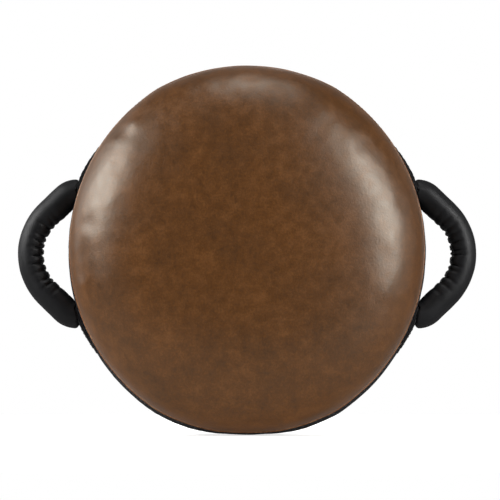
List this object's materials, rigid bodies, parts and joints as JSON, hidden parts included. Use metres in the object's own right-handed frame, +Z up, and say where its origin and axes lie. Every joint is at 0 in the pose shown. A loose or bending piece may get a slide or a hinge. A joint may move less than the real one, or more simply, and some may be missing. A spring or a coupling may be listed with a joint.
{
  "type": "trainer belly pad",
  "caption": "Round domed strike pad worn on a trainer's belly, with leather cover, foam filling, a padded grab handle at each side and a hook-and-loop waist belt behind.",
  "frame": {"origin": "middle of the back panel's outer face, where the pad lies on the wearer", "axes": "+Z up, +X to the right of someone who looks at the face, +Y out of the back panel, so the face looks along -Y"},
  "size_m": [0.5138, 0.1226, 0.4136],
  "materials": {
    "brown_leather": "satin",
    "black_leather": "satin",
    "black_webbing": "matte",
    "black_elastic": "matte",
    "hook_tape": "matte",
    "loop_tape": "matte",
    "grey_foam": "matte",
    "stiff_sheet": "matte"
  },
  "bodies": {
    "pad": {"front_cover": "brown_leather", "front_welt": "brown_leather", "side_band": "black_leather", "rear_welt": "black_leather", "back_panel": "black_leather", "face_foam": "grey_foam", "core_foam": "grey_foam", "spreader_sheet": "stiff_sheet", "back_foam": "grey_foam", "left_upper_tab": "black_leather", "left_lower_tab": "black_leather", "right_upper_tab": "black_leather", "right_lower_tab": "black_leather", "belt_left_anchor": "black_webbing", "belt_right_anchor": "black_webbing"},
    "left_handle": {"left_handle_sleeve": "black_leather", "left_handle_foam": "grey_foam", "left_handle_core": "black_webbing"},
    "right_handle": {"right_handle_sleeve": "black_leather", "right_handle_foam": "grey_foam", "right_handle_core": "black_webbing"},
    "belt_left": {"belt_left_elastic": "black_elastic", "belt_left_strap": "black_webbing"},
    "belt_tip": {"belt_tip_strap": "black_webbing", "belt_tip_hook": "hook_tape", "belt_pull_tab": "black_leather"},
    "belt_right": {"belt_right_strap": "black_webbing", "belt_loop_field": "loop_tape"}
  },
  "joints": [
    {"name": "left_handle_swing", "type": "hinge", "parent": "pad", "child": "left_handle", "pos_m": [-0.19784, -0.02275, 0], "axis": [0, 0, -1], "range_deg": [-40, 40], "stiffness_Nm_per_rad": 0.6},
    {"name": "right_handle_swing", "type": "hinge", "parent": "pad", "child": "right_handle", "pos_m": [0.19784, -0.02275, 0], "axis": [0, 0, 1], "range_deg": [-40, 40], "stiffness_Nm_per_rad": 0.6},
    {"name": "belt_left_open", "type": "hinge", "parent": "pad", "child": "belt_left", "pos_m": [-0.17836, 0.0051, 0], "axis": [0, 0, 1], "range_deg": [0, 150]},
    {"name": "belt_right_open", "type": "hinge", "parent": "pad", "child": "belt_right", "pos_m": [0.17836, 0.0051, 0], "axis": [0, 0, -1], "range_deg": [0, 150]},
    {"name": "belt_tip_peel", "type": "hinge", "parent": "belt_left", "child": "belt_tip", "pos_m": [0.11036, 0.0108, 0], "axis": [0, 0, 1], "range_deg": [0, 110]}
  ],
  "couplings": [
    {"joint": "belt_right_open", "follows": "belt_left_open", "ratio": 1}
  ]
}
